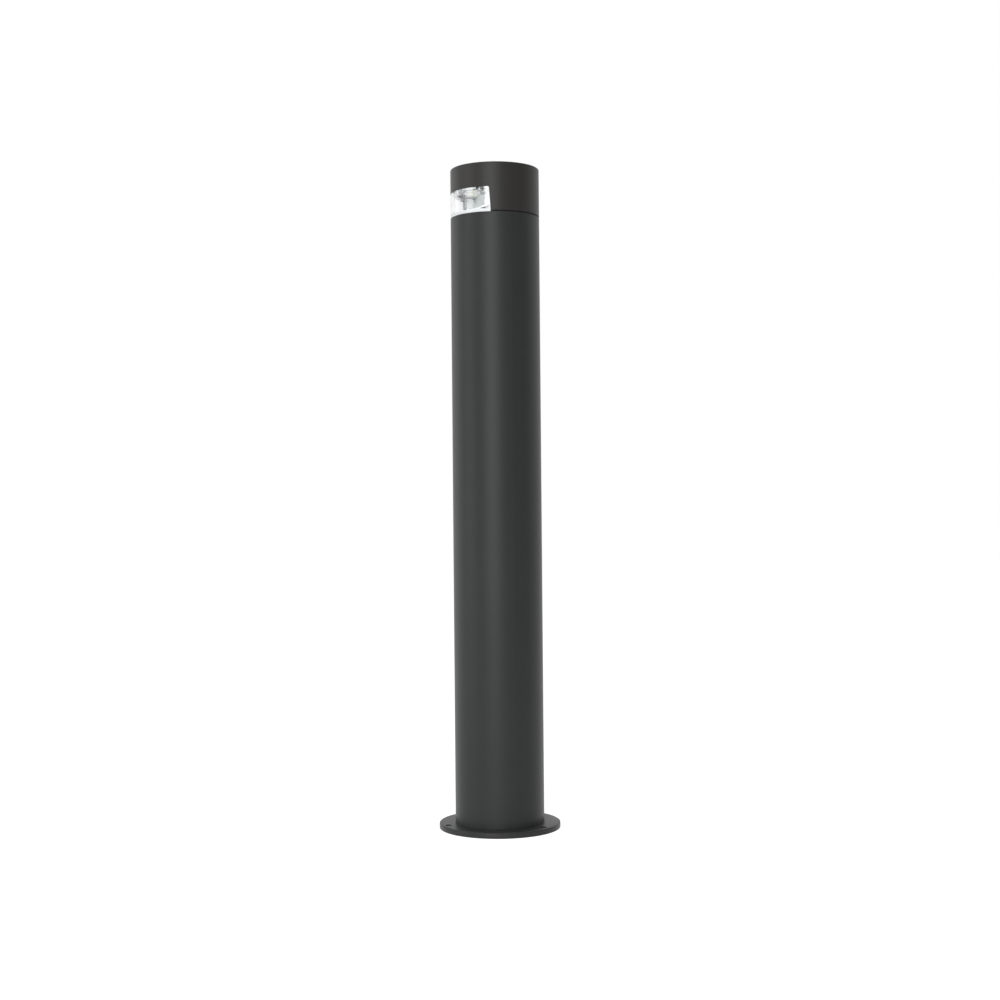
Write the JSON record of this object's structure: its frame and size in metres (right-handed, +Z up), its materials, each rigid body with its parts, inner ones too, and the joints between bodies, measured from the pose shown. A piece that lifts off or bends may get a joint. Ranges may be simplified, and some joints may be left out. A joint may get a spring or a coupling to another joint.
{
  "type": "bollard light",
  "caption": "Round bollard light: an extruded column on a cast base plate, with a cap whose notch holds a clear window.",
  "frame": {"origin": "centre of the underside of the base plate, on the column's axis", "axes": "+Z up along the column, -Y the way the window looks"},
  "size_m": [0.147, 0.147, 0.8],
  "materials": {
    "coat": "matt anthracite powder coat on aluminium",
    "cap_coat": "matt anthracite powder coat on die-cast aluminium",
    "steel": "stainless",
    "black_rubber": "matt",
    "bare_cast": "as cast",
    "clear_window": "clear moulded polycarbonate",
    "white_coat": "matt white",
    "white_moulding": "matt white",
    "grey_moulding": "matt light grey",
    "board_white": "white solder resist",
    "led_yellow": "gel over phosphor",
    "zinc_sheet": "zinc plated sheet",
    "black_moulding": "matt black",
    "white_jacket": "lead jacket",
    "grey_jacket": "lead jacket",
    "green_jacket": "lead jacket"
  },
  "bodies": {
    "root": {"base_flange": "coat", "column": "coat", "head_cap": "cap_coat", "column_screws": "steel", "tie_screws": "steel", "set_screw": "steel", "lens_screws": "steel", "board_screws": "steel", "reflector_screws": "steel", "tray_screws": "steel", "driver_screws": "steel", "block_screws": "steel", "terminal_screws": "steel", "earth_screw": "steel", "seam_gasket": "black_rubber", "lens_seal": "black_rubber", "lead_grommet": "black_rubber", "gland_seal": "black_rubber", "head_base": "bare_cast", "lens": "clear_window", "led_plate": "white_coat", "reflector": "white_moulding", "driver": "white_moulding", "board_connector": "white_moulding", "terminal_block": "grey_moulding", "led_board": "board_white", "led_chips": "led_yellow", "gear_tray": "zinc_sheet", "earth_ring": "zinc_sheet", "gland_body": "black_moulding", "gland_nut": "black_moulding", "gland_cap": "black_moulding", "led_lead": "white_jacket", "input_lead": "grey_jacket", "earth_lead": "green_jacket"}
  },
  "joints": []
}
